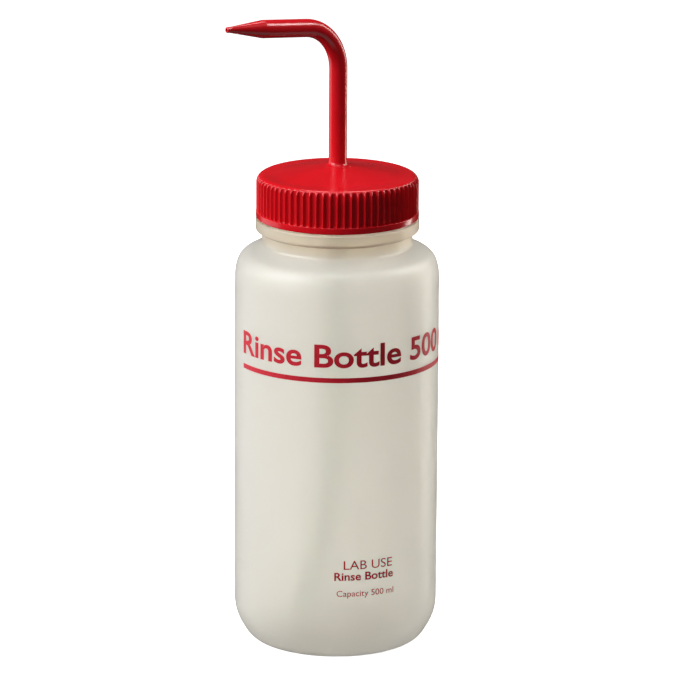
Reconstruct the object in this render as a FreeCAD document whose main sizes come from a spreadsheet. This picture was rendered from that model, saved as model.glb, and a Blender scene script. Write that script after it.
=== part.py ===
"""A 500 ml wide-mouth laboratory wash bottle, modelled in millimetres.

Frame: the origin is on the bottle's axis in the plane that it stands on, +Z is up, and the
delivery nozzle points towards -X. Everything that turns or lifts does so about the Z axis.
"""
import FreeCAD, Part
import Sketcher
import math
import os
import re
from FreeCAD import Vector

DOC = FreeCAD.newDocument("WashBottle")

SIZES = {
    # bottle
    "wall": 1.2,
    "body_radius": 36.5,
    "recess_depth": 1.8,
    "recess_floor_radius": 16.0,
    "recess_edge_radius": 22.0,
    "recess_round": 4.0,
    "foot_radius": 30.4,
    "foot_round": 7.6,
    "base_corner_height": 10.1,
    "base_corner_round": 18.0,
    "shoulder_start": 136.7,
    "shoulder_start_round": 20.0,
    "shoulder_edge_radius": 35.0,
    "shoulder_edge": 142.3,
    "shoulder_edge_round": 6.7,
    "neck_radius": 26.8,
    "neck_start": 146.4,
    "neck_round": 1.2,
    # neck finish: bead, threaded wall and rim
    "bead_bottom": 150.4,
    "bead_radius": 29.2,
    "bead_bevel": 1.1,
    "bead_round": 0.6,
    "bead_top": 155.3,
    "finish_radius": 25.2,
    "rim_height": 168.4,
    "thread_pitch": 4.233,
    "thread_turns": 1.5,
    "thread_start": 159.3,
    "thread_depth": 1.2,
    "thread_root_width": 2.0,
    "thread_crest_width": 1.0,
    # closure
    "cap_bottom": 155.9,
    "cap_top": 171.3,
    "cap_radius": 29.1,
    "cap_inner_radius": 26.9,
    "cap_roof": 1.8,
    "cap_shoulder_round": 2.9,
    "cap_hem_round": 0.4,
    "crown_edge_radius": 22.5,
    "crown_edge_round": 20.0,
    "crown_top": 174.9,
    "rib_count": 72,
    "rib_band": 2.3,
    "rib_depth": 1.2,
    "rib_hollow_radius": 1.15,
    "cap_thread_turns": 1.25,
    "cap_thread_depth": 1.35,
    "collar_radius": 5.6,
    "collar_bottom": 162.0,
    # sealing ring
    "seal_inner_radius": 22.6,
    "seal_outer_radius": 26.5,
    "seal_gap": 0.05,
    # nozzle
    "stem_radius": 3.25,
    "stem_clearance": 0.05,
    "stem_bore_radius": 1.6,
    "foot_flare_radius": 5.05,
    "foot_flare_height": 0.1,
    "foot_gap": 0.01,
    "foot_slope": 0.3,
    "foot_flare_round": 1.7,
    "snap_bead_radius": 3.6,
    "snap_bead_top": 161.9,
    "snap_bead_bottom": 160.3,
    "snap_bead_lead": 0.8,
    "snap_bead_back": 0.3,
    "spigot_radius": 2.3,
    "spigot_bottom": 148.0,
    "elbow_start": 209.5,
    "elbow_radius": 16.7,
    "elbow_turn": 84.0,
    "nozzle_run": 19.9,
    "tip_cone": 14.7,
    "tip_nub": 1.4,
    "tip_radius": 1.05,
    "orifice_radius": 0.5,
    "feature_overlap": 1.0,
    # draw tube
    "tube_radius": 3.2,
    "tube_bore_radius": 2.25,
    "tube_top": 160.2,
    "tube_bend_start": 90.0,
    "tube_bend_radius": 190.0,
    "tube_bend_turn": 26.0,
    "tube_cut_height": 6.5,
}


def make_sheet():
    sheet = DOC.addObject("Spreadsheet::Sheet", "Sizes")
    for row, (name, value) in enumerate(SIZES.items(), start=1):
        sheet.set(f"A{row}", name)
        sheet.set(f"B{row}", str(value))
        sheet.setAlias(f"B{row}", name)
    DOC.recompute()
    return sheet


SHEET = make_sheet()


def linked(formula):
    """Turn a formula in the sheet's aliases into an expression that FreeCAD can bind."""
    return re.sub(r"[a-z]+_\w+|wall", r"Sizes.\g<0>", formula)


def value(formula):
    """The number that a formula in the sheet's aliases gives."""
    return float(SHEET.evalExpression(linked(formula)))


def bind(thing, **formulas):
    for prop, formula in formulas.items():
        thing.setExpression(prop, linked(formula))


def origin_part(body, role):
    return next(part for part in body.Origin.OriginFeatures if part.Role == role)


def new_body(label):
    body = DOC.addObject("PartDesign::Body", label)
    body.Label = label
    return body


def new_sketch(body, name, plane="XZ_Plane"):
    sketch = body.newObject("Sketcher::SketchObject", name)
    sketch.AttachmentSupport = [(origin_part(body, plane), "")]
    sketch.MapMode = "FlatFace"
    return sketch


def pin_point(sketch, edge, end, across, up):
    """Hold one end of a sketch edge at two formulas, measured from the sketch's origin."""
    for kind, formula in (("DistanceX", across), ("DistanceY", up)):
        index = sketch.addConstraint(
            Sketcher.Constraint(kind, -1, 1, edge, end, value(formula))
        )
        sketch.setExpression(f"Constraints[{index}]", linked(formula))


def outline(sketch, corners):
    """A closed outline of straight lines through corners given as pairs of formulas."""
    points = [Vector(value(across), value(up), 0) for across, up in corners]
    first = sketch.GeometryCount
    for start, end in zip(points, points[1:] + points[:1]):
        sketch.addGeometry(Part.LineSegment(start, end), False)
    last = first + len(points) - 1
    for edge in range(first, last + 1):
        after = first if edge == last else edge + 1
        sketch.addConstraint(Sketcher.Constraint("Coincident", edge, 2, after, 1))
    for edge, (across, up) in enumerate(corners, start=first):
        pin_point(sketch, edge, 1, across, up)
    return sketch


def turn_sketch(body, name, sketch, axis="V_Axis", cut=False):
    """Turn a sketch a full turn about one of its axes, as added or removed material."""
    kind = "PartDesign::Groove" if cut else "PartDesign::Revolution"
    feature = body.newObject(kind, name)
    feature.Profile = sketch
    feature.ReferenceAxis = (sketch, [axis])
    feature.Angle = 360
    DOC.recompute()
    return feature


def revolve(body, name, corners):
    """Turn an outline in the XZ plane about the Z axis."""
    return turn_sketch(body, name, outline(new_sketch(body, name + "Outline"), corners))


def circles(feature, places):
    """Names of a feature's circular edges about Z at the given (radius, height) formulas."""
    wanted = [(value(radius), value(height)) for radius, height in places]
    names = []
    for number, edge in enumerate(feature.Shape.Edges, start=1):
        if not isinstance(edge.Curve, Part.Circle):
            continue
        centre = edge.Curve.Center
        if math.hypot(centre.x, centre.y) > 0.001:
            continue
        for radius, height in wanted:
            if abs(edge.Curve.Radius - radius) < 0.01 and abs(centre.z - height) < 0.01:
                names.append(f"Edge{number}")
    if len(names) != len(wanted):
        raise RuntimeError(f"{feature.Label}: {len(names)} of {len(wanted)} edges found")
    return names


def fillet(body, name, radius, *places):
    base = body.Tip
    feature = body.newObject("PartDesign::Fillet", name)
    feature.Base = (base, circles(base, places))
    bind(feature, Radius=radius)
    DOC.recompute()
    return feature


def helix_ridge(body, name, corners, turns):
    """A right-hand thread ridge about the Z axis, from its section in the XZ plane."""
    sketch = outline(new_sketch(body, name + "Section"), corners)
    feature = body.newObject("PartDesign::AdditiveHelix", name)
    feature.Profile = sketch
    feature.ReferenceAxis = (sketch, ["V_Axis"])
    feature.Mode = "pitch-turns-angle"
    bind(feature, Pitch="thread_pitch", Turns=turns)
    DOC.recompute()
    return feature


def bottle():
    body = new_body("bottle")
    revolve(body, "Blank", [
        ("0", "recess_depth"),
        ("recess_floor_radius", "recess_depth"),
        ("recess_edge_radius", "0"),
        ("foot_radius", "0"),
        ("body_radius", "base_corner_height"),
        ("body_radius", "shoulder_start"),
        ("shoulder_edge_radius", "shoulder_edge"),
        ("neck_radius", "neck_start"),
        ("neck_radius", "bead_top"),
        ("finish_radius", "bead_top"),
        ("finish_radius", "rim_height"),
        ("0", "rim_height"),
    ])
    fillet(body, "RecessRound", "recess_round",
           ("recess_floor_radius", "recess_depth"), ("recess_edge_radius", "0"))
    fillet(body, "FootRound", "foot_round", ("foot_radius", "0"))
    fillet(body, "BaseCornerRound", "base_corner_round",
           ("body_radius", "base_corner_height"))
    fillet(body, "ShoulderStartRound", "shoulder_start_round",
           ("body_radius", "shoulder_start"))
    fillet(body, "ShoulderEdgeRound", "shoulder_edge_round",
           ("shoulder_edge_radius", "shoulder_edge"))
    fillet(body, "NeckRound", "neck_round", ("neck_radius", "neck_start"))
    hollow_bottle(body)
    revolve(body, "Bead", [
        ("neck_radius - wall / 2", "bead_bottom"),
        ("neck_radius", "bead_bottom"),
        ("bead_radius", "bead_bottom + bead_bevel"),
        ("bead_radius", "bead_top"),
        ("neck_radius - wall / 2", "bead_top"),
    ])
    fillet(body, "BeadRound", "bead_round",
           ("bead_radius", "bead_bottom + bead_bevel"), ("bead_radius", "bead_top"))
    helix_ridge(body, "NeckThread", [
        ("finish_radius - wall / 2", "thread_start - thread_root_width / 2"),
        ("finish_radius", "thread_start - thread_root_width / 2"),
        ("finish_radius + thread_depth", "thread_start - thread_crest_width / 2"),
        ("finish_radius + thread_depth", "thread_start + thread_crest_width / 2"),
        ("finish_radius", "thread_start + thread_root_width / 2"),
        ("finish_radius - wall / 2", "thread_start + thread_root_width / 2"),
    ], "thread_turns")
    return body


def hollow_bottle(body):
    """Leave a wall of even thickness, open at the rim."""
    base = body.Tip
    rim = value("rim_height")
    top = next(
        f"Face{number}" for number, face in enumerate(base.Shape.Faces, start=1)
        if face.BoundBox.ZMin > rim - 0.001
    )
    feature = body.newObject("PartDesign::Thickness", "Hollow")
    feature.Base = (base, [top])
    feature.Reversed = True
    feature.Join = 1
    bind(feature, Value="wall")
    DOC.recompute()


def screw_cap():
    body = new_body("screw_cap")
    revolve(body, "Shell", [
        ("stem_radius + stem_clearance", "crown_top"),
        ("crown_edge_radius", "cap_top"),
        ("cap_radius", "cap_top"),
        ("cap_radius", "cap_bottom"),
        ("cap_inner_radius", "cap_bottom"),
        ("cap_inner_radius", "cap_top - cap_roof"),
        ("crown_edge_radius", "cap_top - cap_roof"),
        ("collar_radius", "crown_top - cap_roof"),
        ("collar_radius", "collar_bottom"),
        ("stem_radius + stem_clearance", "collar_bottom"),
    ])
    fillet(body, "CapShoulder", "cap_shoulder_round", ("cap_radius", "cap_top"))
    fillet(body, "CapHem", "cap_hem_round", ("cap_radius", "cap_bottom"))
    fillet(body, "CrownEdge", "crown_edge_round", ("crown_edge_radius", "cap_top"))
    between = "thread_start - thread_pitch / 2"
    helix_ridge(body, "CapThread", [
        ("cap_inner_radius + wall / 2", between + " + thread_root_width / 2"),
        ("cap_inner_radius", between + " + thread_root_width / 2"),
        ("cap_inner_radius - cap_thread_depth", between + " + thread_crest_width / 2"),
        ("cap_inner_radius - cap_thread_depth", between + " - thread_crest_width / 2"),
        ("cap_inner_radius", between + " - thread_root_width / 2"),
        ("cap_inner_radius + wall / 2", between + " - thread_root_width / 2"),
    ], "cap_thread_turns")
    grip_ribs(body)
    return body


def grip_ribs(body):
    """Cut the hollows that leave the grip ribs standing round the skirt."""
    hollow = body.newObject("PartDesign::SubtractiveCylinder", "GripHollow")
    hollow.AttachmentSupport = [(origin_part(body, "XY_Plane"), "")]
    hollow.MapMode = "FlatFace"
    half_pitch = f"(180 deg / {linked('rib_count')})"
    centre = linked("(cap_radius - rib_depth + rib_hollow_radius)")
    bind(hollow, Radius="rib_hollow_radius", Height="cap_top - cap_bottom")
    hollow.setExpression("AttachmentOffset.Base.x", f"{centre} * cos{half_pitch}")
    hollow.setExpression("AttachmentOffset.Base.y", f"{centre} * sin{half_pitch}")
    hollow.setExpression("AttachmentOffset.Base.z", linked("cap_bottom + rib_band"))
    DOC.recompute()
    pattern = body.newObject("PartDesign::PolarPattern", "GripRibs")
    pattern.Originals = [hollow]
    pattern.Axis = (origin_part(body, "Z_Axis"), [""])
    pattern.Angle = 360
    bind(pattern, Occurrences="rib_count")
    body.Tip = pattern
    DOC.recompute()


def seal_liner():
    body = new_body("seal_liner")
    revolve(body, "Ring", [
        ("seal_inner_radius", "rim_height + seal_gap"),
        ("seal_outer_radius", "rim_height + seal_gap"),
        ("seal_outer_radius", "cap_top - cap_roof - seal_gap"),
        ("seal_inner_radius", "cap_top - cap_roof - seal_gap"),
    ])
    return body


def pipe(body, name, radius, path, height, cut=False):
    """Sweep a circle that starts at a height on the Z axis along a path sketch."""
    section = new_sketch(body, name + "Section", "XY_Plane")
    bind(section, **{"AttachmentOffset.Base.z": height})
    section.addGeometry(Part.Circle(Vector(0, 0, 0), Vector(0, 0, 1), value(radius)), False)
    section.addConstraint(Sketcher.Constraint("Coincident", 0, 3, -1, 1))
    index = section.addConstraint(Sketcher.Constraint("Radius", 0, value(radius)))
    section.setExpression(f"Constraints[{index}]", linked(radius))
    kind = "PartDesign::SubtractivePipe" if cut else "PartDesign::AdditivePipe"
    feature = body.newObject(kind, name)
    feature.Profile = section
    feature.Spine = path
    DOC.recompute()
    return feature


def bent_path(body, name, start, bend, radius, turn, run, upwards):
    """A line along Z from start to bend, an arc towards -X, and a straight run."""
    sketch = new_sketch(body, name)
    way = 1 if upwards else -1
    z_start, z_bend = value(start), value(bend)
    bend_radius, angle, length = value(radius), math.radians(value(turn)), value(run)
    centre = Vector(-bend_radius, z_bend, 0)
    leave = centre + bend_radius * Vector(math.cos(angle), way * math.sin(angle), 0)
    onward = Vector(-math.sin(angle), way * math.cos(angle), 0)
    sketch.addGeometry(Part.LineSegment(Vector(0, z_start, 0), Vector(0, z_bend, 0)), False)
    sweep = (0, angle) if upwards else (-angle, 0)
    circle = Part.Circle(centre, Vector(0, 0, 1), bend_radius)
    sketch.addGeometry(Part.ArcOfCircle(circle, *sweep), False)
    sketch.addGeometry(Part.LineSegment(leave, leave + length * onward), False)
    near, far = (1, 2) if upwards else (2, 1)
    sketch.addConstraint(Sketcher.Constraint("Tangent", 0, 2, 1, near))
    sketch.addConstraint(Sketcher.Constraint("Tangent", 1, far, 2, 1))
    pin_point(sketch, 0, 1, "0", start)
    pin_point(sketch, 0, 2, "0", bend)
    for kind, edge, formula in (("Radius", 1, radius), ("Distance", 2, run)):
        index = sketch.addConstraint(Sketcher.Constraint(kind, edge, value(formula)))
        sketch.setExpression(f"Constraints[{index}]", linked(formula))
    hold_direction(sketch, 2, math.atan2(onward.y, onward.x), turn, way)
    DOC.recompute()
    return sketch


def hold_direction(sketch, edge, angle, turn, way):
    """Fix a line's direction, turned towards -X from straight up (way 1) or down (-1)."""
    index = sketch.addConstraint(Sketcher.Constraint("Angle", edge, angle))
    sketch.setExpression(
        f"Constraints[{index}]", f"{90 * way} deg + {way} * {linked(turn)} * 1 deg"
    )


def nozzle_tip(body, cut=False):
    """The tapered jet, or its bore, turned about the nozzle's own inclined axis."""
    name = "TipBore" if cut else "Tip"
    turn = math.radians(value("elbow_turn"))
    bend = value("elbow_radius")
    along = Vector(-math.sin(turn), math.cos(turn), 0)
    square = Vector(math.cos(turn), math.sin(turn), 0)
    start = Vector(-bend, value("elbow_start"), 0) + bend * square
    start = start + value("nozzle_run") * along
    cone, nub, overlap = value("tip_cone"), value("tip_nub"), value("feature_overlap")
    if cut:
        steps = [(-overlap, 0), (-overlap, value("stem_bore_radius")),
                 (cone, value("orifice_radius")),
                 (cone + nub + overlap, value("orifice_radius")),
                 (cone + nub + overlap, 0)]
    else:
        steps = [(-overlap, 0), (-overlap, value("stem_radius")), (0, value("stem_radius")),
                 (cone, value("tip_radius")), (cone + nub, value("tip_radius")),
                 (cone + nub, 0)]
    points = [start + reach * along + radius * square for reach, radius in steps]
    sketch = new_sketch(body, name + "Outline")
    for first, second in zip(points, points[1:] + points[:1]):
        sketch.addGeometry(Part.LineSegment(first, second), False)
    for edge in range(len(points)):
        after = (edge + 1) % len(points)
        sketch.addConstraint(Sketcher.Constraint("Coincident", edge, 2, after, 1))
        sketch.addConstraint(Sketcher.Constraint("Block", edge))
    axis = sketch.addGeometry(Part.LineSegment(start, start + along), True)
    sketch.addConstraint(Sketcher.Constraint("Block", axis))
    turn_sketch(body, name, sketch, "Axis0", cut)


def nozzle_stem():
    body = new_body("nozzle_stem")
    foot = "crown_top + foot_gap"
    revolve(body, "Shank", [
        ("0", "spigot_bottom"),
        ("spigot_radius", "spigot_bottom"),
        ("spigot_radius", "snap_bead_bottom"),
        ("snap_bead_radius", "snap_bead_bottom + snap_bead_lead"),
        ("snap_bead_radius", "snap_bead_top - snap_bead_back"),
        ("stem_radius", "snap_bead_top"),
        ("stem_radius", foot),
        ("foot_flare_radius", foot + " - foot_slope"),
        ("foot_flare_radius", foot + " - foot_slope + foot_flare_height"),
        ("stem_radius", foot + " + foot_flare_height"),
        ("stem_radius", "elbow_start"),
        ("0", "elbow_start"),
    ])
    fillet(body, "FootFlare", "foot_flare_round",
           ("stem_radius", foot + " + foot_flare_height"))
    joint = "elbow_start - feature_overlap"
    path = bent_path(body, "NozzlePath", joint, "elbow_start", "elbow_radius", "elbow_turn",
                     "nozzle_run", True)
    pipe(body, "Nozzle", "stem_radius", path, joint)
    nozzle_tip(body)
    below = "spigot_bottom - feature_overlap"
    bore_path = bent_path(body, "BorePath", below, "elbow_start", "elbow_radius",
                          "elbow_turn", "nozzle_run", True)
    pipe(body, "Bore", "stem_bore_radius", bore_path, below, cut=True)
    nozzle_tip(body, cut=True)
    return body


def draw_tube():
    body = new_body("draw_tube")
    path = bent_path(body, "TubePath", "tube_top", "tube_bend_start", "tube_bend_radius",
                     "tube_bend_turn", "tube_radius", False)
    pipe(body, "Tube", "tube_radius", path, "tube_top")
    pipe(body, "TubeBore", "tube_bore_radius", path, "tube_top", cut=True)
    cut = body.newObject("PartDesign::SubtractiveBox", "FootCut")
    cut.AttachmentSupport = [(origin_part(body, "XY_Plane"), "")]
    cut.MapMode = "FlatFace"
    bind(cut, Length="body_radius * 2", Width="body_radius * 2", Height="tube_cut_height * 2")
    bind(cut, **{"AttachmentOffset.Base.x": "-body_radius",
                 "AttachmentOffset.Base.y": "-body_radius",
                 "AttachmentOffset.Base.z": "-tube_cut_height"})
    DOC.recompute()
    return body


def check_document():
    for thing in DOC.Objects:
        if "Invalid" in thing.State or "Error" in thing.State:
            raise RuntimeError(f"{thing.Label} did not recompute: {thing.State}")


def export(body):
    shape = body.Shape
    if shape.isNull() or not shape.isValid() or len(shape.Solids) != 1:
        raise RuntimeError(f"{body.Label} is not one valid solid")
    print(f"{body.Label}: {shape.Volume / 1000:.2f} cm3")
    shape.exportStep(f"parts/{body.Label}.step")


PIECES = [bottle(), screw_cap(), seal_liner(), nozzle_stem(), draw_tube()]
DOC.recompute()
check_document()
os.makedirs("parts", exist_ok=True)
for piece in PIECES:
    export(piece)
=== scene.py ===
"""The looks of a 500 ml laboratory wash bottle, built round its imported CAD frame.

Lengths are in metres and angles in radians unless a name says otherwise. A bearing is measured
about the bottle's axis from +X towards +Y.
"""

import bmesh
import bpy
import math
import numpy as np
from mathutils import Matrix, Vector


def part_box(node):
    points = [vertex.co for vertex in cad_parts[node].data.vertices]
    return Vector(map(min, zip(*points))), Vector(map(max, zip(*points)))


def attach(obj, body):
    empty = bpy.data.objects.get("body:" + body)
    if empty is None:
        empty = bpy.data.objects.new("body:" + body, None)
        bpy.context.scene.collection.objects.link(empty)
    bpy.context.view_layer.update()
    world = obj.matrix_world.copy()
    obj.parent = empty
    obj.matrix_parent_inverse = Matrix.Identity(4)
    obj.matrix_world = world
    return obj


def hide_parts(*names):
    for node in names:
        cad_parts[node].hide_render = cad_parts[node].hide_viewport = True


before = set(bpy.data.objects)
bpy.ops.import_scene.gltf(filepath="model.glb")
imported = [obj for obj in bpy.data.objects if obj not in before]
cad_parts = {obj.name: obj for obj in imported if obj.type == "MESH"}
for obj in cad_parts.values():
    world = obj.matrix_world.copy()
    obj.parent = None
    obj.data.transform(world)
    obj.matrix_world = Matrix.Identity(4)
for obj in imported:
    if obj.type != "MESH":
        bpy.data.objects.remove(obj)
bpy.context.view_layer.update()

MM = 0.001
FULL_TURN = 2 * math.pi

# The bearing of the camera, which faces the print. The nozzle points to its left and towards it.
FRONT = math.radians(-130)

BODY_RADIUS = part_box("bottle")[1].x
RIM_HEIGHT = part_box("bottle")[1].z
CAP_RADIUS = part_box("screw_cap")[1].x
CAP_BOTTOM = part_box("screw_cap")[0].z
SPIGOT_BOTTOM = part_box("nozzle_stem")[0].z


# ---------------------------------------------------------------- outlines and meshes

ON_AXIS = 1e-7
TOLERANCE = 0.01 * MM


def rounded(corners, arc_step=math.radians(5)):
    """Points of an outline whose corners are (radius, height, rounding)."""
    points = []
    for index, (radius, height, rounding) in enumerate(corners):
        corner = Vector((radius, height))
        if not rounding or index in (0, len(corners) - 1):
            points.append(corner)
            continue
        before = (Vector(corners[index - 1][:2]) - corner).normalized()
        after = (Vector(corners[index + 1][:2]) - corner).normalized()
        half = before.angle(after) / 2
        centre = corner + (before + after).normalized() * rounding / math.sin(half)
        start = corner + before * rounding / math.tan(half) - centre
        end = corner + after * rounding / math.tan(half) - centre
        turn = math.atan2(start.x * end.y - start.y * end.x, start.dot(end))
        steps = max(2, math.ceil(abs(turn) / arc_step))
        for step in range(steps + 1):
            angle = turn * step / steps
            cos, sin = math.cos(angle), math.sin(angle)
            spoke = Vector((start.x * cos - start.y * sin, start.x * sin + start.y * cos))
            points.append(centre + spoke)
    return points


def spaced(points, longest):
    """The same outline with points added so that no step is longer than longest."""
    result = [points[0]]
    for start, end in zip(points, points[1:]):
        steps = max(1, math.ceil((end - start).length / longest))
        for step in range(1, steps + 1):
            result.append(start.lerp(end, step / steps))
    return result


def grid_object(name, rings, closed=False):
    """A mesh whose quads join rings of points; a ring of one point closes an end."""
    mesh = bmesh.new()
    rows = [[mesh.verts.new(point) for point in ring] for ring in rings]
    pairs = list(zip(rows, rows[1:]))
    if closed:
        pairs.append((rows[-1], rows[0]))
    for lower, upper in pairs:
        for column in range(max(len(lower), len(upper))):
            corners = []
            for ring, at in ((lower, column), (lower, column + 1),
                             (upper, column + 1), (upper, column)):
                vertex = ring[at % len(ring)]
                if vertex not in corners:
                    corners.append(vertex)
            mesh.faces.new(corners)
    return mesh_object(name, mesh)


def mesh_object(name, mesh):
    """An object made from a bmesh, smooth all over and with its faces turned outwards."""
    bmesh.ops.recalc_face_normals(mesh, faces=mesh.faces)
    for face in mesh.faces:
        face.smooth = True
    data = bpy.data.meshes.new(name)
    mesh.to_mesh(data)
    mesh.free()
    piece = bpy.data.objects.new(name, data)
    bpy.context.collection.objects.link(piece)
    return piece


def turned(outline, bearings, shape=None):
    """Rings of points from an outline; shape(bearings, radii, heights) may move them."""
    rings = []
    for radius, height in outline:
        if radius < ON_AXIS:
            rings.append([Vector((0, 0, height))])
            continue
        radii = np.full(len(bearings), radius)
        heights = np.full(len(bearings), height)
        if shape:
            radii, heights = shape(bearings, radii, heights)
        rings.append([
            Vector((r * math.cos(b), r * math.sin(b), h))
            for r, b, h in zip(radii, bearings, heights)
        ])
    return rings


def smooth_step(x):
    """0 up to x = 0 and 1 from x = 1, with no kink between."""
    x = np.clip(x, 0, 1)
    return x * x * (3 - 2 * x)


# ---------------------------------------------------------------- thread

THREAD_PITCH = 4.233 * MM
THREAD_HALF_ROOT = 1.0 * MM
THREAD_HALF_CREST = 0.5 * MM
THREAD_FADE = math.radians(20)


def thread_ridge(bearings, heights, start, turns):
    """How far up the thread's flank each point is, from 0 beside it to 1 on its crest."""
    along = bearings % FULL_TURN
    laps = np.round((heights - start) / THREAD_PITCH - along / FULL_TURN)
    wound = along + FULL_TURN * laps
    off = np.abs(heights - start - THREAD_PITCH * wound / FULL_TURN)
    flank = (THREAD_HALF_ROOT - off) / (THREAD_HALF_ROOT - THREAD_HALF_CREST)
    ends = smooth_step(wound / THREAD_FADE)
    ends = ends * smooth_step((turns * FULL_TURN - wound) / THREAD_FADE)
    return smooth_step(flank) * ends


# ---------------------------------------------------------------- bottle

WALL = 1.2 * MM
RECESS_DEPTH = 1.8 * MM
RECESS_FLOOR_RADIUS = 16.0 * MM
RECESS_EDGE_RADIUS = 22.0 * MM
RECESS_ROUND = 4 * MM
FOOT_RADIUS = 30.4 * MM
FOOT_ROUND = 7.6 * MM
BASE_CORNER_HEIGHT = 10.1 * MM
BASE_CORNER_ROUND = 18 * MM
WALL_BOTTOM = BASE_CORNER_HEIGHT / 4
SHOULDER_START = 136.7 * MM
SHOULDER_ROUND = 20 * MM
SHOULDER_EDGE = 142.3 * MM
SHOULDER_EDGE_RADIUS = 35.0 * MM
SHOULDER_EDGE_ROUND = 6.7 * MM
NECK_RADIUS = 26.8 * MM
NECK_START = 146.4 * MM
NECK_ROUND = 1.2 * MM
BEAD_BOTTOM = 150.4 * MM
BEAD_ROOT_ROUND = 0.3 * MM
BEAD_RADIUS = 29.2 * MM
BEAD_BEVEL = 1.1 * MM
BEAD_BEVEL_ROUND = 0.9 * MM
BEAD_TOP = 155.3 * MM
BEAD_TOP_ROUND = 0.6 * MM
LINING_STEP_ROUND = 1.3 * MM
FINISH_RADIUS = 25.2 * MM
FINISH_ROOT_ROUND = 0.29 * MM
RIM_ROUND = 0.4 * MM
LINING_BELOW_RIM = 0.6 * MM
NECK_THREAD_START = 159.3 * MM
NECK_THREAD_TURNS = 1.5
NECK_THREAD_DEPTH = 1.2 * MM
RIPPLE = 0.04 * MM
# Strength, lobes round the wall, radians per metre of height and phase of each wave.
RIPPLE_WAVES = ((1.0, 2, 31, 0), (0.6, 3, -57, 1), (0.4, 5, 83, 2))
RIPPLE_START = 20 * MM
RIPPLE_FADE_IN = 20 * MM
RIPPLE_END = SHOULDER_START - 5 * MM
RIPPLE_FADE_OUT = 15 * MM
SEAM_HEIGHT = 0.07 * MM
SEAM_HALF_WIDTH = 0.35 * MM
SEAM_COLUMNS = np.radians([-1.1, -0.8, -0.55, -0.35, -0.15, 0.15, 0.35, 0.55, 0.8, 1.1])
WELD_HEIGHT = 0.3 * MM
BOTTLE_COLUMNS = 240
BODY_STEP = 2 * MM
FINISH_STEP = 0.25 * MM


def wall_ripple(bearings, heights):
    """The slight unevenness of a blow-moulded wall, as an outward offset."""
    waves = sum(
        strength * np.sin(lobes * bearings + climb * heights + phase)
        for strength, lobes, climb, phase in RIPPLE_WAVES
    )
    inside = smooth_step((heights - RIPPLE_START) / RIPPLE_FADE_IN)
    inside = inside * smooth_step((RIPPLE_END - heights) / RIPPLE_FADE_OUT)
    return RIPPLE * waves * inside


def bottle_bearings():
    """Even bearings round the bottle, closer together beside the mould's parting line."""
    even = np.linspace(0, FULL_TURN, BOTTLE_COLUMNS, endpoint=False)
    seams = [FRONT + side + SEAM_COLUMNS for side in (math.pi / 2, -math.pi / 2)]
    return np.unique(np.round(np.concatenate([even, *seams]) % FULL_TURN, 6))


def seam(bearings, radii):
    """The parting line's ridge, from 0 away from it to 1 on it."""
    across = np.abs(np.cos(bearings - FRONT)) * radii
    return smooth_step(1 - across / SEAM_HALF_WIDTH)


def bottle_skin(bearings, radii, heights):
    """Thread, parting line, base weld and unevenness on the bottle's outside."""
    ridge = seam(bearings, radii)
    wall = (heights > WALL_BOTTOM) & (heights < BEAD_BOTTOM)
    finish = (heights > BEAD_TOP) & (radii < FINISH_RADIUS + TOLERANCE)
    recess = (heights < WALL_BOTTOM) & (radii < RECESS_FLOOR_RADIUS)
    thread = thread_ridge(bearings, heights, NECK_THREAD_START, NECK_THREAD_TURNS)
    moved = radii + np.where(wall, ridge * SEAM_HEIGHT, 0) + wall_ripple(bearings, heights)
    moved = moved + np.where(finish, thread * NECK_THREAD_DEPTH, 0)
    return moved, heights - np.where(recess, ridge * WELD_HEIGHT, 0)


def offset_inwards(points, distance):
    """A curve parallel to an outline that runs up from the axis, on its axis side."""
    moved = []
    for index, point in enumerate(points):
        before, after = points[max(0, index - 1)], points[min(len(points) - 1, index + 1)]
        along = (after - before).normalized()
        moved.append(point + distance * Vector((-along.y, along.x)))
    moved[0].x = 0
    return moved


# The outside's corners from the middle of the base to the plain neck.
BODY_CORNERS = [
    (0, RECESS_DEPTH, 0),
    (RECESS_FLOOR_RADIUS, RECESS_DEPTH, RECESS_ROUND),
    (RECESS_EDGE_RADIUS, 0, RECESS_ROUND),
    (FOOT_RADIUS, 0, FOOT_ROUND),
    (BODY_RADIUS, BASE_CORNER_HEIGHT, BASE_CORNER_ROUND),
    (BODY_RADIUS, SHOULDER_START, SHOULDER_ROUND),
    (SHOULDER_EDGE_RADIUS, SHOULDER_EDGE, SHOULDER_EDGE_ROUND),
    (NECK_RADIUS, NECK_START, NECK_ROUND),
]


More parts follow.
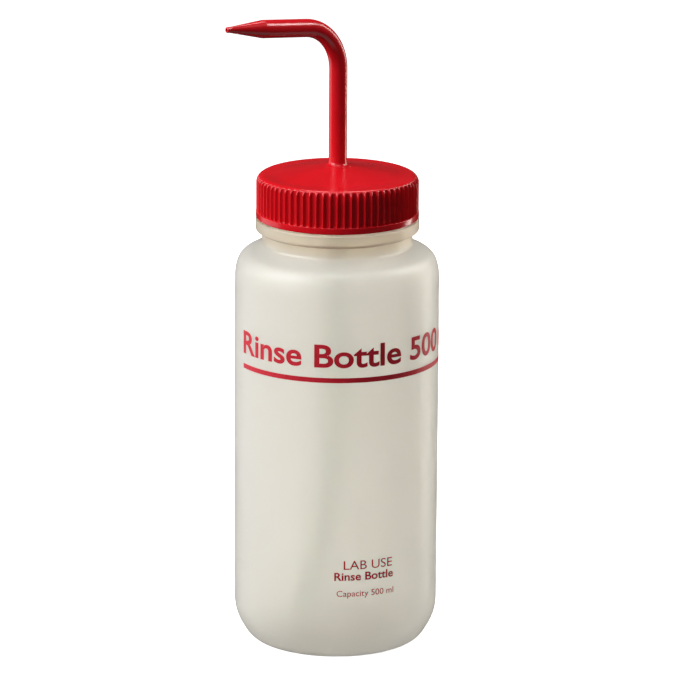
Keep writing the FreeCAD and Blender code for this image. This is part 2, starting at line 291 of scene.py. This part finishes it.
def make_bottle():
    """The bottle as one closed skin: up its outside, over the rim and down its inside."""
    lip = FINISH_RADIUS - WALL / 2
    below_finish = rounded(BODY_CORNERS + [
        (NECK_RADIUS, BEAD_BOTTOM, BEAD_ROOT_ROUND),
        (BEAD_RADIUS, BEAD_BOTTOM + BEAD_BEVEL, BEAD_BEVEL_ROUND),
        (BEAD_RADIUS, BEAD_TOP, BEAD_TOP_ROUND),
        (FINISH_RADIUS, BEAD_TOP, 0),
    ])
    finish = rounded([
        (FINISH_RADIUS, BEAD_TOP, 0),
        (FINISH_RADIUS, RIM_HEIGHT, RIM_ROUND),
        (lip, RIM_HEIGHT, 0),
    ])
    behind_lining = rounded(BODY_CORNERS + [
        (NECK_RADIUS, BEAD_TOP, LINING_STEP_ROUND),
        (FINISH_RADIUS, BEAD_TOP, FINISH_ROOT_ROUND),
        (FINISH_RADIUS, RIM_HEIGHT - LINING_BELOW_RIM, 0),
    ])
    lining = offset_inwards(spaced(behind_lining, BODY_STEP), WALL)
    mouth = rounded([
        (lip, RIM_HEIGHT, 0),
        (FINISH_RADIUS - WALL, RIM_HEIGHT, RIM_ROUND),
        tuple(lining[-1]) + (0,),
    ])
    bearings = bottle_bearings()
    outside = spaced(below_finish, BODY_STEP) + spaced(finish, FINISH_STEP)[1:]
    rings = turned(outside, bearings, bottle_skin)
    rings += turned(mouth[1:] + lining[-2::-1], bearings)
    return grid_object("bottle_shell", rings)


# ---------------------------------------------------------------- closure

CAP_INNER_RADIUS = 26.9 * MM
CAP_ROOF = 1.8 * MM
CAP_SHOULDER = 2.9 * MM
CAP_TOP = 171.3 * MM
SKIRT_TOP = CAP_TOP - 4 * MM
HEM_ROUND = 0.4 * MM
CROWN_EDGE_RADIUS = 22.5 * MM
CROWN_EDGE_ROUND = 20 * MM
CROWN_TOP = 174.9 * MM
CAP_INNER_ROUND = 0.3 * MM
COLLAR_RADIUS = 5.6 * MM
COLLAR_BOTTOM = 162.0 * MM
BORE_RADIUS = 3.3 * MM
BORE_EDGE = 0.1 * MM
RIBS = 72
COLUMNS_PER_RIB = 12
RIB_BAND = 2.3 * MM
RIB_DEPTH = 1.2 * MM
RIB_BLEND = 0.35 * MM
RIB_SHARPNESS = 4.5
LEDGE_ROUND = 0.14 * MM
LEDGE_STEPS = 4
CAP_THREAD_START = NECK_THREAD_START - THREAD_PITCH / 2
CAP_THREAD_TURNS = 1.25
CAP_THREAD_DEPTH = 1.35 * MM
CROWN_STEP = 3 * MM
CAP_LINING_STEP = 0.4 * MM


def cap_skin(bearings, radii, heights):
    """Grip ribs on the skirt: hollows cut straight up through the shoulder."""
    swell = (0.5 + 0.5 * np.cos(RIBS * bearings)) ** RIB_SHARPNESS
    above = smooth_step((heights - CAP_BOTTOM - RIB_BAND) / LEDGE_ROUND + 0.5)
    hollow = CAP_RADIUS - RIB_DEPTH * (1 - swell) * above
    beyond = np.maximum(RIB_BLEND - np.abs(radii - hollow), 0) ** 2 / (4 * RIB_BLEND)
    return np.minimum(radii, hollow) - beyond * above, heights


def cap_lining(bearings, radii, heights):
    """The thread inside the skirt."""
    skirt = radii > CAP_INNER_RADIUS - TOLERANCE
    thread = thread_ridge(bearings, heights, CAP_THREAD_START, CAP_THREAD_TURNS)
    return radii - np.where(skirt, thread * CAP_THREAD_DEPTH, 0), heights


def make_cap():
    """The closure as one closed skin, from the bore's top edge out, down, in and back up."""
    hem = (CAP_RADIUS + CAP_INNER_RADIUS) / 2
    crown = rounded([
        (BORE_RADIUS, CROWN_TOP - BORE_EDGE, 0),
        (BORE_RADIUS + BORE_EDGE, CROWN_TOP, 0),
        (CROWN_EDGE_RADIUS, CAP_TOP, CROWN_EDGE_ROUND),
        (CAP_RADIUS - CAP_SHOULDER, CAP_TOP, 0),
    ], arc_step=math.radians(1))
    shoulder = rounded([
        (CAP_RADIUS - CAP_SHOULDER, CAP_TOP, 0),
        (CAP_RADIUS, CAP_TOP, CAP_SHOULDER),
        (CAP_RADIUS, SKIRT_TOP, 0),
    ], arc_step=math.radians(3))
    band_top = CAP_BOTTOM + RIB_BAND
    ledge = [Vector((CAP_RADIUS, band_top + LEDGE_ROUND * step / LEDGE_STEPS))
             for step in range(LEDGE_STEPS, -LEDGE_STEPS - 1, -1)]
    skirt_end = rounded([
        (CAP_RADIUS, band_top - LEDGE_ROUND * 2, 0),
        (CAP_RADIUS, CAP_BOTTOM, HEM_ROUND),
        (hem, CAP_BOTTOM, 0),
    ], arc_step=math.radians(15))
    lining = rounded([
        (hem, CAP_BOTTOM, 0),
        (CAP_INNER_RADIUS, CAP_BOTTOM, CAP_INNER_ROUND),
        (CAP_INNER_RADIUS, CAP_TOP - CAP_ROOF, CAP_INNER_ROUND),
        (CROWN_EDGE_RADIUS, CAP_TOP - CAP_ROOF, 0),
        (COLLAR_RADIUS, CROWN_TOP - CAP_ROOF, CAP_INNER_ROUND),
        (COLLAR_RADIUS, COLLAR_BOTTOM, CAP_INNER_ROUND),
        (BORE_RADIUS, COLLAR_BOTTOM, 0),
        (BORE_RADIUS, CROWN_TOP - BORE_EDGE, 0),
    ], arc_step=math.radians(20))
    bearings = np.linspace(0, FULL_TURN, RIBS * COLUMNS_PER_RIB, endpoint=False)
    outside = spaced(crown, CROWN_STEP) + shoulder[1:] + ledge + skirt_end
    rings = turned(outside, bearings, cap_skin)
    rings += turned(spaced(lining, CAP_LINING_STEP)[1:-1], bearings, cap_lining)
    return grid_object("ribbed_cap", rings, closed=True)


# ---------------------------------------------------------------- nozzle

STEM_RADIUS = 3.25 * MM
STEM_BORE = 1.6 * MM
STEM_EDGE_ROUND = 0.1 * MM
FLARE_RADIUS = 5.05 * MM
FLARE_RIM = 0.08 * MM
FLARE_RIM_ROUND = 0.03 * MM
FLARE_FILLET = 1.6 * MM
FOOT_SLOPE = 0.34 * MM
SNAP_BEAD_RADIUS = 3.6 * MM
SNAP_BEAD_TOP = 161.9 * MM
SNAP_BEAD_BOTTOM = 160.3 * MM
SNAP_BEAD_LEAD_IN = 0.8 * MM
SNAP_BEAD_CATCH = 0.3 * MM
SNAP_BEAD_ROUND = 0.2 * MM
SPIGOT_RADIUS = 2.3 * MM
SPIGOT_ROUND = 0.3 * MM
ELBOW_START = 209.5 * MM
ELBOW_RADIUS = 16.7 * MM
ELBOW_TURN = math.radians(84)
NOZZLE_RUN = 19.9 * MM
TIP_CONE = 14.7 * MM
TIP_CONE_ROUND = 3.0 * MM
TIP_NUB = 1.4 * MM
TIP_NUB_ROUND = 1.0 * MM
TIP_RADIUS = 1.05 * MM
TIP_END_ROUND = 0.4 * MM
ORIFICE_RADIUS = 0.5 * MM
STEM_STEP = 1.0 * MM
STEM_COLUMNS = 48


def along_stem(distance):
    """The point that far up the stem's centreline from the spigot, and the way it runs."""
    straight = ELBOW_START - SPIGOT_BOTTOM
    arc = ELBOW_RADIUS * ELBOW_TURN
    if distance <= straight:
        return Vector((0, 0, SPIGOT_BOTTOM + distance)), Vector((0, 0, 1))
    turn = min(1, (distance - straight) / arc) * ELBOW_TURN
    way = Vector((-math.sin(turn), 0, math.cos(turn)))
    bend = Vector((ELBOW_RADIUS * (math.cos(turn) - 1), 0,
                   ELBOW_START + ELBOW_RADIUS * math.sin(turn)))
    return bend + way * max(0, distance - straight - arc), way


def swept(outline, columns):
    """Rings of points round the stem from an outline of (radius, distance)."""
    rings = []
    for radius, distance in outline:
        centre, way = along_stem(distance)
        side = Vector((0, 1, 0))
        up = way.cross(side)
        rings.append([
            centre + radius * (math.cos(angle) * side + math.sin(angle) * up)
            for angle in np.linspace(0, FULL_TURN, columns, endpoint=False)
        ])
    return rings


def make_stem():
    """The nozzle as one closed skin, out of the spigot, along to the tip and back inside."""
    def up(height):
        return height - SPIGOT_BOTTOM

    cone_start = up(ELBOW_START) + ELBOW_RADIUS * ELBOW_TURN + NOZZLE_RUN
    nub_start = cone_start + TIP_CONE
    end = nub_start + TIP_NUB
    outside = rounded([
        (STEM_BORE, 0, 0),
        (SPIGOT_RADIUS, 0, SPIGOT_ROUND),
        (SPIGOT_RADIUS, up(SNAP_BEAD_BOTTOM), STEM_EDGE_ROUND),
        (SNAP_BEAD_RADIUS, up(SNAP_BEAD_BOTTOM) + SNAP_BEAD_LEAD_IN, SNAP_BEAD_ROUND),
        (SNAP_BEAD_RADIUS, up(SNAP_BEAD_TOP) - SNAP_BEAD_CATCH, STEM_EDGE_ROUND),
        (STEM_RADIUS, up(SNAP_BEAD_TOP), STEM_EDGE_ROUND),
        (STEM_RADIUS, up(CROWN_TOP), 0),
        (FLARE_RADIUS, up(CROWN_TOP) - FOOT_SLOPE, 0),
        (FLARE_RADIUS, up(CROWN_TOP) - FOOT_SLOPE + FLARE_RIM, FLARE_RIM_ROUND),
        (STEM_RADIUS, up(CROWN_TOP) + FLARE_RIM, FLARE_FILLET),
        (STEM_RADIUS, cone_start, TIP_CONE_ROUND),
        (TIP_RADIUS, nub_start, TIP_NUB_ROUND),
        (TIP_RADIUS, end, TIP_END_ROUND),
        (ORIFICE_RADIUS, end, STEM_EDGE_ROUND),
        (ORIFICE_RADIUS, end - 2 * TIP_NUB, 0),
        (STEM_BORE, cone_start, 0),
        (STEM_BORE, 0, 0),
    ])
    outline = spaced(outside, STEM_STEP)[:-1]
    return grid_object("bent_nozzle", swept(outline, STEM_COLUMNS), closed=True)


# ---------------------------------------------------------------- print

INK_LIFT = 0.03 * MM
INK_THICKNESS = 0.04 * MM
INK_EDGE_ANGLE = math.radians(40)
PRINT_START = math.radians(-64.7)
STRIPE_HEIGHT = 104.95 * MM
STRIPE_WIDTH = 1.75 * MM
STRIPE_TURN = math.radians(187)
STRIPE_STEPS = 120
LETTER_RESOLUTION = 6
LETTER_SLICE = 1.5 * MM
MERGE_DISTANCE = 0.005 * MM

# How far along a line its first letter, a capital, reaches in the typeface's own units.
FIRST_LETTER = 0.6

# Piece, words, height of a capital, start from the front, base height, added weight and stretch.
WORDS = (
    ("print_title", "Rinse Bottle 500 ml", 8.1 * MM, PRINT_START, 109.8 * MM, 0.02, 1.17),
    ("print_use", "LAB USE", 3.2 * MM, math.radians(4.7), 35.3 * MM, 0.0, 1.1),
    ("print_name", "Rinse Bottle", 2.9 * MM, math.radians(-0.6), 31.3 * MM, 0.02, 1.1),
    ("print_size", "Capacity 500 ml", 2.2 * MM, math.radians(0.8), 25.3 * MM, 0.0, 1.05),
)


def wrapped(mesh, start, base):
    """Bend a flat bmesh, x along and y up, round the bottle from a bearing and height."""
    for vertex in mesh.verts:
        bearing = FRONT + start + vertex.co.x / BODY_RADIUS
        height = base + vertex.co.y
        ripple = wall_ripple(np.array([bearing]), np.array([height]))[0]
        radius = BODY_RADIUS + ripple + INK_LIFT + vertex.co.z
        vertex.co = (radius * math.cos(bearing), radius * math.sin(bearing), height)


def thickened(mesh):
    """Give a flat bmesh the ink's thickness, as a closed solid."""
    faces = bmesh.ops.extrude_face_region(mesh, geom=mesh.faces[:])["geom"]
    top = [item for item in faces if isinstance(item, bmesh.types.BMVert)]
    bmesh.ops.translate(mesh, verts=top, vec=(0, 0, INK_THICKNESS))


def crisp(piece):
    """Keep the ink's edges sharp, so that its face is shaded as one smooth sheet."""
    piece.data.set_sharp_from_angle(angle=INK_EDGE_ANGLE)
    return piece


def make_stripe():
    mesh = bmesh.new()
    length = STRIPE_TURN * BODY_RADIUS
    lower, upper = (
        [mesh.verts.new((length * step / STRIPE_STEPS, side, 0))
         for step in range(STRIPE_STEPS + 1)]
        for side in (-STRIPE_WIDTH / 2, STRIPE_WIDTH / 2)
    )
    for step in range(STRIPE_STEPS):
        mesh.faces.new([lower[step], lower[step + 1], upper[step + 1], upper[step]])
    thickened(mesh)
    wrapped(mesh, PRINT_START, STRIPE_HEIGHT)
    return crisp(mesh_object("print_stripe", mesh))


def make_words(name, words, cap_height, start, base, weight, stretch):
    """Printed words that start at a bearing from the front and stand on a base height."""
    curve = bpy.data.curves.new(name, "FONT")
    curve.body = words
    curve.offset = weight
    curve.resolution_u = LETTER_RESOLUTION
    flat = bpy.data.objects.new(name + "_flat", curve)
    bpy.context.collection.objects.link(flat)
    bpy.context.view_layer.update()
    data = bpy.data.meshes.new_from_object(flat)
    mesh = bmesh.new()
    mesh.from_mesh(data)
    bpy.data.objects.remove(flat)
    capital = max(vertex.co.y for vertex in mesh.verts if vertex.co.x < FIRST_LETTER)
    first = min(vertex.co.x for vertex in mesh.verts)
    size = cap_height / capital
    for vertex in mesh.verts:
        vertex.co = ((vertex.co.x - first) * size * stretch, vertex.co.y * size, 0)
    bmesh.ops.remove_doubles(mesh, verts=mesh.verts, dist=MERGE_DISTANCE)
    length = max(vertex.co.x for vertex in mesh.verts)
    for step in range(1, math.ceil(length / LETTER_SLICE)):
        bmesh.ops.bisect_plane(mesh, geom=mesh.verts[:] + mesh.edges[:] + mesh.faces[:],
                               plane_co=(step * LETTER_SLICE, 0, 0), plane_no=(1, 0, 0))
    thickened(mesh)
    wrapped(mesh, start, base)
    return crisp(mesh_object(name, mesh))


# ---------------------------------------------------------------- materials

RAMP_DARK_AT = 0.3
RAMP_LIGHT_AT = 0.7
# The neck's darker, warmer colour: partly the thick wall's own tone, partly painted shade under
# the cap and painted red light bounced from the cap.
NECK_SHADE_TONE = (0.81, 0.72, 0.58, 1)
NECK_SHADE_START = NECK_START - 1.5 * MM
NECK_SHADE_FULL = NECK_START + 3 * MM


def new_material(name):
    material = bpy.data.materials.new(name)
    material.use_nodes = True
    tree = material.node_tree
    return material, tree, tree.nodes["Principled BSDF"]


def set_inputs(node, settings):
    for name, setting in settings.items():
        node.inputs[name].default_value = setting


def socket(sockets, identifier):
    """The socket with an identifier, on a node that has several of the same name."""
    return next(item for item in sockets if item.identifier == identifier)


def noise(tree, scale, detail):
    """Noise fixed to the object, with scale in cells for each metre."""
    place = tree.nodes.new("ShaderNodeTexCoord")
    texture = tree.nodes.new("ShaderNodeTexNoise")
    set_inputs(texture, {"Scale": scale, "Detail": detail})
    tree.links.new(place.outputs["Object"], texture.inputs["Vector"])
    return texture.outputs["Fac"]


def spread(tree, source, low, high):
    """A number from 0 to 1 taken to the range from low to high."""
    node = tree.nodes.new("ShaderNodeMapRange")
    set_inputs(node, {"To Min": low, "To Max": high})
    tree.links.new(source, node.inputs["Value"])
    return node.outputs["Result"]


def tinted(tree, source, dark, light):
    """A colour between dark and light."""
    ramp = tree.nodes.new("ShaderNodeValToRGB")
    first, last = ramp.color_ramp.elements
    first.position, first.color = RAMP_DARK_AT, (*dark, 1)
    last.position, last.color = RAMP_LIGHT_AT, (*light, 1)
    tree.links.new(source, ramp.inputs["Fac"])
    return ramp.outputs["Color"]


def bumped(tree, shader, source, distance, strength):
    bump = tree.nodes.new("ShaderNodeBump")
    set_inputs(bump, {"Distance": distance, "Strength": strength})
    tree.links.new(source, bump.inputs["Height"])
    tree.links.new(bump.outputs["Normal"], shader.inputs["Normal"])


def neck_tone_and_shade(tree, colour):
    """The colour below the neck, and from the neck up a darker, warmer tone that is partly the
    thick wall's own tone and partly painted shade under the cap with painted red light bounced
    from the cap.
    """
    place = tree.nodes.new("ShaderNodeTexCoord")
    split = tree.nodes.new("ShaderNodeSeparateXYZ")
    tree.links.new(place.outputs["Object"], split.inputs["Vector"])
    # How far into the neck's painted shade and own warmer tone each point is, by height.
    neck_share = tree.nodes.new("ShaderNodeMapRange")
    neck_share.interpolation_type = "SMOOTHSTEP"
    set_inputs(neck_share, {"From Min": NECK_SHADE_START, "From Max": NECK_SHADE_FULL})
    tree.links.new(split.outputs["Z"], neck_share.inputs["Value"])
    blend = tree.nodes.new("ShaderNodeMix")
    blend.data_type = "RGBA"
    tree.links.new(neck_share.outputs["Result"], socket(blend.inputs, "Factor_Float"))
    tree.links.new(colour, socket(blend.inputs, "A_Color"))
    socket(blend.inputs, "B_Color").default_value = NECK_SHADE_TONE
    return socket(blend.outputs, "Result_Color")


def natural_polyethylene():
    """Milky natural polyethylene, darker and warmer on the neck: partly the thick wall's own
    tone, partly painted shade under the cap and painted red light bounced from the cap.
    """
    material, tree, shader = new_material("natural_polyethylene")
    colour = tinted(tree, noise(tree, 14, 3), (0.815, 0.79, 0.73), (0.845, 0.822, 0.77))
    tree.links.new(neck_tone_and_shade(tree, colour), shader.inputs["Base Color"])
    tree.links.new(spread(tree, noise(tree, 60, 4), 0.38, 0.46), shader.inputs["Roughness"])
    set_inputs(shader, {"Transmission Weight": 0.8, "IOR": 1.53})
    bumped(tree, shader, noise(tree, 900, 2), 0.02 * MM, 0.5)
    return material


def red_polypropylene():
    """Glossy moulded red polypropylene."""
    material, tree, shader = new_material("red_polypropylene")
    colour = tinted(tree, noise(tree, 40, 3), (0.62, 0.004, 0.009), (0.70, 0.006, 0.013))
    tree.links.new(colour, shader.inputs["Base Color"])
    tree.links.new(spread(tree, noise(tree, 300, 4), 0.16, 0.26), shader.inputs["Roughness"])
    set_inputs(shader, {
        "Subsurface Weight": 0.08,
        "Subsurface Radius": (1.0, 0.1, 0.05),
        "Subsurface Scale": 1 * MM,
        "IOR": 1.49,
    })
    bumped(tree, shader, noise(tree, 500, 2), 0.02 * MM, 0.3)
    return material


def red_ink():
    material, tree, shader = new_material("red_ink")
    cloud = noise(tree, 250, 4)
    colour = tinted(tree, cloud, (0.62, 0.004, 0.018), (0.68, 0.008, 0.028))
    tree.links.new(colour, shader.inputs["Base Color"])
    tree.links.new(spread(tree, cloud, 0.46, 0.58), shader.inputs["Roughness"])
    bumped(tree, shader, noise(tree, 1500, 2), 0.01 * MM, 0.4)
    return material


def milky_tube():
    material, tree, shader = new_material("milky_tube")
    colour = tinted(tree, noise(tree, 30, 2), (0.80, 0.79, 0.74), (0.86, 0.85, 0.81))
    tree.links.new(colour, shader.inputs["Base Color"])
    tree.links.new(spread(tree, noise(tree, 200, 3), 0.25, 0.35), shader.inputs["Roughness"])
    set_inputs(shader, {"Subsurface Weight": 0.5, "Subsurface Scale": 4 * MM})
    bumped(tree, shader, noise(tree, 700, 2), 0.02 * MM, 0.4)
    return material


def seal_foam():
    material, tree, shader = new_material("seal_foam")
    cells = noise(tree, 2500, 3)
    colour = tinted(tree, cells, (0.76, 0.76, 0.74), (0.88, 0.88, 0.86))
    tree.links.new(colour, shader.inputs["Base Color"])
    tree.links.new(spread(tree, cells, 0.55, 0.75), shader.inputs["Roughness"])
    bumped(tree, shader, cells, 0.08 * MM, 0.8)
    return material


def pale_floor():
    """A matt floor that glows enough to look as white as the backdrop."""
    material, _, shader = new_material("pale_floor")
    set_inputs(shader, {
        "Base Color": (0.9, 0.9, 0.9, 1),
        "Roughness": 0.9,
        "Specular IOR Level": 0.0,
        "Emission Color": (1, 1, 1, 1),
        "Emission Strength": 0.85,
    })
    return material


def paint(piece, material):
    piece.data.materials.clear()
    piece.data.materials.append(material)


def repaint(node, material):
    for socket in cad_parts[node].material_slots:
        socket.material = material


# ---------------------------------------------------------------- stage

CAMERA_ELEVATION_DEGREES = 14.6
CAMERA_ROLL = math.radians(0.34)
CAMERA_DISTANCE = 2.0
CAMERA_NEAR = 0.1
CAMERA_FAR = 50
VIEW_WIDTH = 0.242
SENSOR_WIDTH_MM = 36.0
AIM_HEIGHT = 0.1112
AIM_ASIDE = 0.00028

COOL = (0.92, 0.955, 1.0)
WARM = (1.0, 0.95, 0.86)
WHITE = (1, 1, 1)
LIT_HEIGHT = 0.12

# Name, degrees from the front, degrees up, distance, width, height, watts and colour.
LIGHTS = (
    ("key", -66, 30, 1.0, 0.8, 0.9, 12.6, COOL),
    ("left_side", -112, 0, 1.0, 0.8, 1.2, 3.4, COOL),
    ("right_strip", 121, 8, 1.0, 0.24, 1.1, 5.6, WARM),
    ("right_high", 102, 44, 1.0, 0.22, 0.3, 2.8, WHITE),
    ("back_high", 175, 62, 1.0, 0.5, 0.2, 1.6, WHITE),
    ("overhead", -50, 76, 1.0, 0.9, 0.7, 4.2, COOL),
    ("table", 95, -56, 0.8, 1.4, 0.8, 1.7, WHITE),
)

AMBIENT = 0.035
BACKDROP = 1.45
FLOOR_RADIUS = 1.5
FLOOR_SEGMENTS = 96


def heading(from_front, elevation):
    """A direction from the object, in degrees to the camera's right and degrees up."""
    bearing = FRONT + math.radians(from_front)
    level = math.cos(math.radians(elevation))
    return Vector((level * math.cos(bearing), level * math.sin(bearing),
                   math.sin(math.radians(elevation))))


def make_camera():
    data = bpy.data.cameras.new("camera")
    data.sensor_width = SENSOR_WIDTH_MM
    data.lens = SENSOR_WIDTH_MM * CAMERA_DISTANCE / VIEW_WIDTH
    data.clip_start = CAMERA_NEAR
    data.clip_end = CAMERA_FAR
    camera = bpy.data.objects.new("camera", data)
    bpy.context.collection.objects.link(camera)
    back = heading(0, CAMERA_ELEVATION_DEGREES)
    turn = (-back).to_track_quat("-Z", "Y").to_matrix()
    aim = Vector((0, 0, AIM_HEIGHT)) + turn @ Vector((AIM_ASIDE, 0, 0))
    turn = turn @ Matrix.Rotation(CAMERA_ROLL, 3, "Z")
    camera.matrix_world = Matrix.Translation(aim + back * CAMERA_DISTANCE) @ turn.to_4x4()
    bpy.context.scene.camera = camera


def add_light(name, from_front, elevation, distance, width, height, power, colour):
    """A soft rectangular light, out of the camera's sight, aimed at the object's middle."""
    data = bpy.data.lights.new(name, "AREA")
    data.shape = "RECTANGLE"
    data.size = width
    data.size_y = height
    data.energy = power
    data.color = colour
    light = bpy.data.objects.new(name, data)
    bpy.context.collection.objects.link(light)
    way = heading(from_front, elevation)
    place = Vector((0, 0, LIT_HEIGHT)) + way * distance
    turn = (-way).to_track_quat("-Z", "Y").to_matrix()
    light.matrix_world = Matrix.Translation(place) @ turn.to_4x4()
    light.visible_camera = False


def make_world():
    """A white backdrop, seen and seen through the bottle, that is dim fill to all else."""
    scene = bpy.context.scene
    scene.view_settings.view_transform = "Standard"
    scene.world = bpy.data.worlds.new("studio")
    scene.world.use_nodes = True
    tree = scene.world.node_tree
    fill = tree.nodes["Background"]
    set_inputs(fill, {"Color": (1, 1, 1, 1), "Strength": AMBIENT})
    backdrop = tree.nodes.new("ShaderNodeBackground")
    set_inputs(backdrop, {"Color": (1, 1, 1, 1), "Strength": BACKDROP})
    rays = tree.nodes.new("ShaderNodeLightPath")
    seen = tree.nodes.new("ShaderNodeMath")
    seen.operation = "MAXIMUM"
    for side, ray in zip(seen.inputs, ("Is Camera Ray", "Is Transmission Ray")):
        tree.links.new(rays.outputs[ray], side)
    mix = tree.nodes.new("ShaderNodeMixShader")
    factor, unseen_side, seen_side = mix.inputs
    tree.links.new(seen.outputs["Value"], factor)
    tree.links.new(fill.outputs["Background"], unseen_side)
    tree.links.new(backdrop.outputs["Background"], seen_side)
    tree.links.new(mix.outputs["Shader"], tree.nodes["World Output"].inputs["Surface"])


def make_floor():
    mesh = bmesh.new()
    bmesh.ops.create_circle(mesh, cap_ends=True, radius=FLOOR_RADIUS, segments=FLOOR_SEGMENTS)
    floor = mesh_object("floor", mesh)
    paint(floor, pale_floor())
    floor.visible_diffuse = False
    floor.visible_glossy = False


# ---------------------------------------------------------------- assembly

def assemble():
    plastic = natural_polyethylene()
    red = red_polypropylene()
    ink = red_ink()
    bottle = make_bottle()
    paint(bottle, plastic)
    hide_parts("bottle")
    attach(bottle, "bottle")
    cap = make_cap()
    paint(cap, red)
    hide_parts("screw_cap")
    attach(cap, "closure")
    stem = make_stem()
    paint(stem, red)
    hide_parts("nozzle_stem")
    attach(stem, "nozzle")
    repaint("draw_tube", milky_tube())
    repaint("seal_liner", seal_foam())
    for piece in [make_stripe()] + [make_words(*row) for row in WORDS]:
        paint(piece, ink)
        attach(piece, "bottle")


make_camera()
for row in LIGHTS:
    add_light(*row)
make_world()
make_floor()
assemble()
